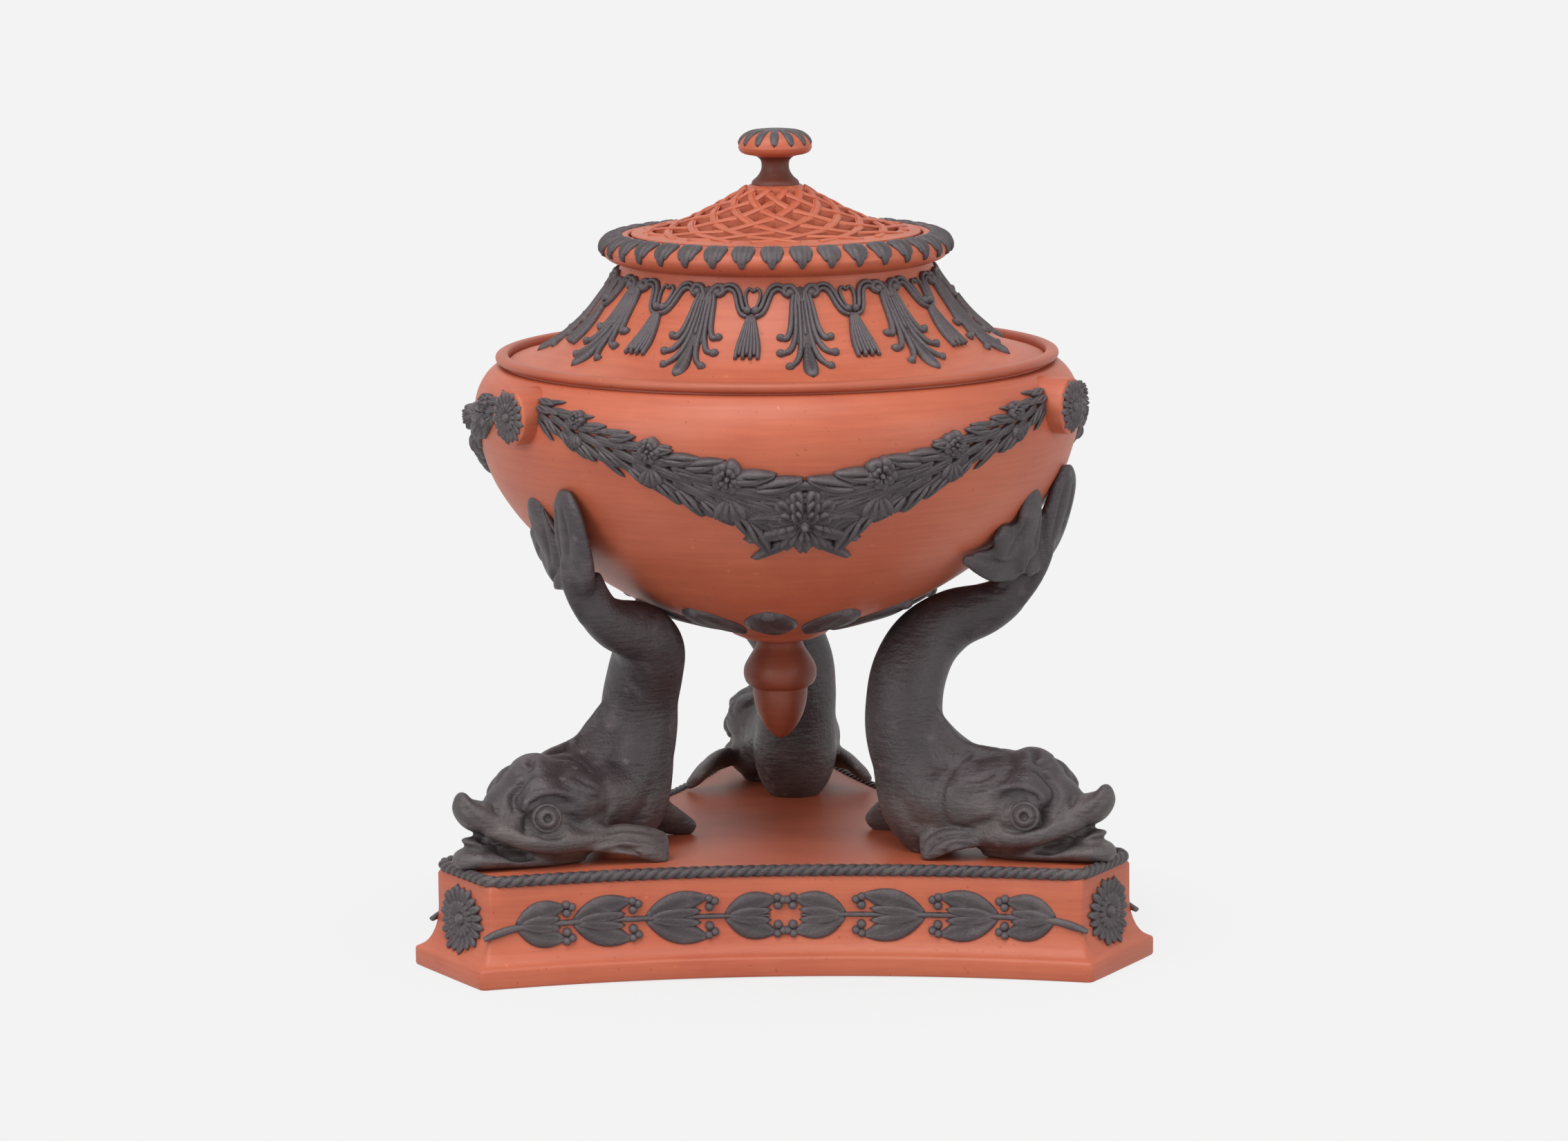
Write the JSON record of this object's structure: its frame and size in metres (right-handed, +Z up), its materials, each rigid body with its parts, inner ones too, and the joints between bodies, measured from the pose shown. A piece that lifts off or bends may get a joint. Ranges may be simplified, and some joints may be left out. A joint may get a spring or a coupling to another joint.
{
  "type": "pastille burner",
  "caption": "Covered bowl with a pierced lid, carried by dolphins on a hollow-sided triangular plinth, with leaf, rosette and garland relief.",
  "frame": {"origin": "under the middle of the whole burner, at the surface that the plinth stands on; the axis of the turned pieces is 7.3 mm nearer the viewer, at y = -0.007275", "axes": "+Z up; -Y towards the viewer, square to one hollow side of the plinth; +X to the viewer's right"},
  "size_m": [0.1318, 0.1248, 0.146],
  "materials": {
    "redware": "matte",
    "dark_redware": "matte",
    "basalt": "matte"
  },
  "bodies": {
    "stand": {"plinth": "redware", "dolphin_left": "basalt", "dolphin_right": "basalt", "dolphin_rear": "basalt", "bowl": "redware", "acorn_drop": "redware", "boss_left": "redware", "boss_right": "redware", "boss_rear": "redware", "rope_border": "basalt", "corner_rosette_left": "basalt", "corner_rosette_right": "basalt", "corner_rosette_rear": "basalt", "laurel_front_west": "basalt", "laurel_front_east": "basalt", "laurel_right_west": "basalt", "laurel_right_east": "basalt", "laurel_left_west": "basalt", "laurel_left_east": "basalt", "leaf_calyx": "basalt", "boss_rosette_left": "basalt", "boss_rosette_right": "basalt", "boss_rosette_rear": "basalt", "garland_front": "basalt", "garland_right": "basalt", "garland_left": "basalt"},
    "cover": {"cover": "redware", "leaf_border": "basalt", "anthemion_1": "basalt", "anthemion_2": "basalt", "anthemion_3": "basalt", "anthemion_4": "basalt", "anthemion_5": "basalt", "anthemion_6": "basalt", "anthemion_7": "basalt", "anthemion_8": "basalt", "anthemion_9": "basalt", "anthemion_10": "basalt", "anthemion_11": "basalt", "tassel_1": "basalt", "tassel_2": "basalt", "tassel_3": "basalt", "tassel_4": "basalt", "tassel_5": "basalt", "tassel_6": "basalt", "tassel_7": "basalt", "tassel_8": "basalt", "tassel_9": "basalt", "tassel_10": "basalt", "tassel_11": "basalt"},
    "lid": {"pierced_lid": "redware", "knob": "dark_redware", "knob_leaves": "basalt"}
  },
  "joints": [
    {"name": "cover_lift", "type": "slide", "parent": "stand", "child": "cover", "axis": [0, 0, 1], "range_m": [0, 0.04]},
    {"name": "lid_lift", "type": "slide", "parent": "cover", "child": "lid", "axis": [0, 0, 1], "range_m": [0, 0.03]}
  ]
}
